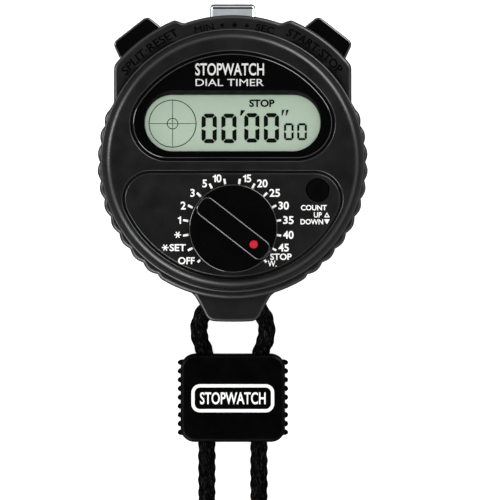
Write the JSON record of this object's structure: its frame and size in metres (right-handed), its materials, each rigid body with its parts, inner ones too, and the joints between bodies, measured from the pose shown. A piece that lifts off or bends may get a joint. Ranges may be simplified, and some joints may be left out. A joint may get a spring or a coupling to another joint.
{
  "type": "digital stopwatch",
  "caption": "Round handheld digital stopwatch with display window, timer dial, push buttons and crown, on a braided neck cord with a slider.",
  "frame": {"origin": "under the middle of the watch, on the plane that its rear cover rests on", "axes": "+X to the right of the face, +Y towards the crown, +Z out of the face"},
  "size_m": [0.0748, 0.2085, 0.0245],
  "materials": {
    "shell": "fine grained charcoal plastic",
    "gloss_black": "polished black plastic",
    "chrome": "polished",
    "steel": "bright",
    "brass": "bright",
    "rubber": "matt black",
    "board": "green solder mask",
    "white_plastic": "natural moulded plastic",
    "lens": "clear acrylic",
    "lcd": "pale grey-green liquid crystal cell",
    "reflector": "satin foil",
    "red": "gloss",
    "cord": "black braid"
  },
  "bodies": {
    "case": {"front_bezel": "shell", "mid_case": "shell", "rear_cover": "shell", "dial_plate": "shell", "front_gasket": "rubber", "rear_gasket": "rubber", "rear_screw_1": "steel", "rear_screw_2": "steel", "rear_screw_3": "steel", "rear_screw_4": "steel", "window_lens": "lens", "display_mask": "gloss_black", "lcd_glass": "lcd", "lcd_reflector": "reflector", "lcd_holder": "white_plastic", "zebra_strip_lower": "rubber", "zebra_strip_upper": "rubber", "circuit_board": "board", "timer_chip": "gloss_black", "quartz_crystal": "steel", "board_screw_1": "steel", "board_screw_2": "steel", "battery": "steel", "battery_clip": "steel", "battery_contact": "brass", "buzzer_disc": "brass", "buzzer_spring_1": "brass", "buzzer_spring_2": "brass", "dial_seal": "rubber", "detent_spring": "steel", "count_spring": "steel", "count_contact": "brass", "crown_spring": "steel", "crown_seal": "rubber", "crown_contact": "brass", "neck_cord_left": "cord", "neck_cord_right": "cord", "neck_cord_coil": "cord", "cord_tie": "rubber", "start_spring": "steel", "start_seal": "rubber", "start_contact": "brass", "split_spring": "steel", "split_seal": "rubber", "split_contact": "brass"},
    "start_button": {"start_button": "gloss_black", "start_stem": "steel"},
    "split_button": {"split_button": "gloss_black", "split_stem": "steel"},
    "crown_plunger": {"crown_plunger": "steel", "crown_pin": "steel"},
    "crown_cap": {"crown_cap": "chrome"},
    "dial": {"dial_knob": "gloss_black", "dial_dot": "red", "dial_shaft": "steel", "dial_rotor": "white_plastic", "detent_wheel": "white_plastic"},
    "count_button": {"count_button": "gloss_black"},
    "slider": {"slider_front": "gloss_black", "slider_back": "gloss_black"}
  },
  "joints": [
    {"name": "start_push", "type": "slide", "parent": "case", "child": "start_button", "axis": [-0.6157, -0.788, 0], "range_m": [0, 0.0015], "stiffness_N_per_m": 1500, "deforming": ["start_spring"]},
    {"name": "split_push", "type": "slide", "parent": "case", "child": "split_button", "axis": [0.6157, -0.788, 0], "range_m": [0, 0.0015], "stiffness_N_per_m": 1500, "deforming": ["split_spring"]},
    {"name": "crown_push", "type": "slide", "parent": "case", "child": "crown_plunger", "axis": [0, -1, 0], "range_m": [0, 0.0012], "stiffness_N_per_m": 1500, "deforming": ["crown_spring"]},
    {"name": "crown_rock", "type": "hinge", "parent": "crown_plunger", "child": "crown_cap", "pos_m": [0, 0.0376, 0.008], "axis": [0, 0, 1], "range_deg": [-5, 5], "stiffness_Nm_per_rad": 0.2},
    {"name": "dial_turn", "type": "hinge", "parent": "case", "child": "dial", "pos_m": [0.0002, -0.0166, 0.02], "axis": [0, 0, 1], "range_deg": [-7, 263]},
    {"name": "count_push", "type": "slide", "parent": "case", "child": "count_button", "axis": [0, 0, -1], "range_m": [0, 0.0008], "stiffness_N_per_m": 1200, "deforming": ["count_spring"]},
    {"name": "slider_run", "type": "slide", "parent": "case", "child": "slider", "axis": [0, -1, 0], "range_m": [0, 0.012]}
  ]
}
